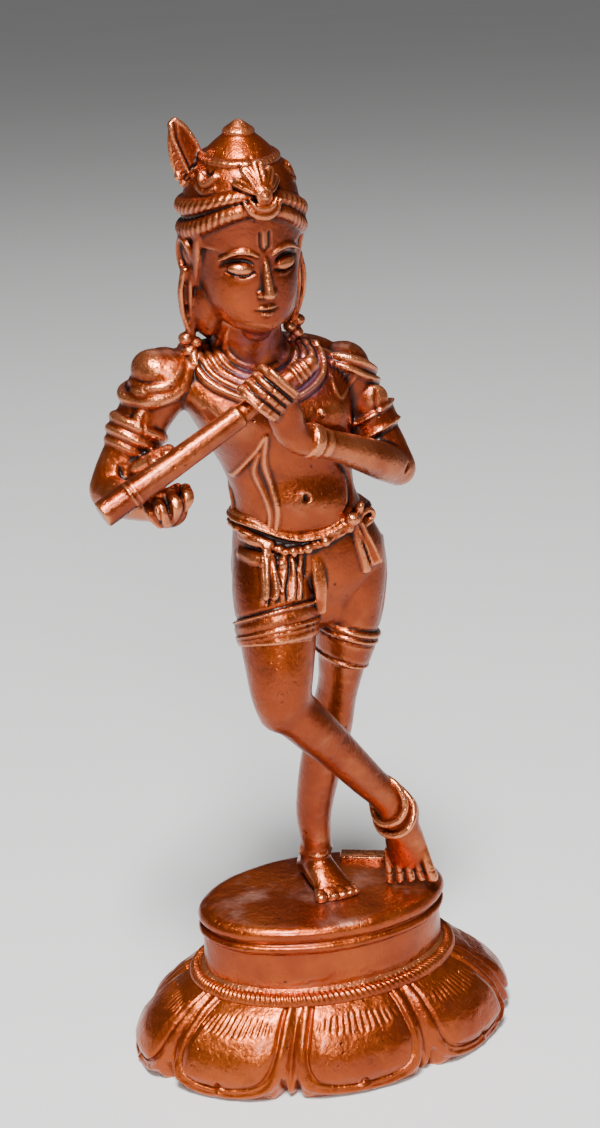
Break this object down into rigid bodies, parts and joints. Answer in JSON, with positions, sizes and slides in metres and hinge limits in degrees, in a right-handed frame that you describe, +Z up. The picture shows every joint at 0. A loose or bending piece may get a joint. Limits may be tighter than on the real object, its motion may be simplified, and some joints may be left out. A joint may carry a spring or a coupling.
{
  "type": "krishna figure",
  "caption": "Small cast metal flute player with crossed legs, a banded crown and a side feather, standing on an oval lotus plinth",
  "frame": {"origin": "centre of the plinth's underside", "axes": "+Z up, the figure faces -Y and the figure's own right is at -X"},
  "size_m": [0.0818, 0.0484, 0.1804],
  "materials": {
    "figure_bronze": "polished reddish bronze, worn bright on the high spots and dark in the recesses",
    "plinth_bronze": "polished reddish bronze with a dark drum and bright petal crowns"
  },
  "bodies": {
    "root": {"krishna_figure": "figure_bronze", "lotus_plinth": "plinth_bronze"}
  },
  "joints": []
}
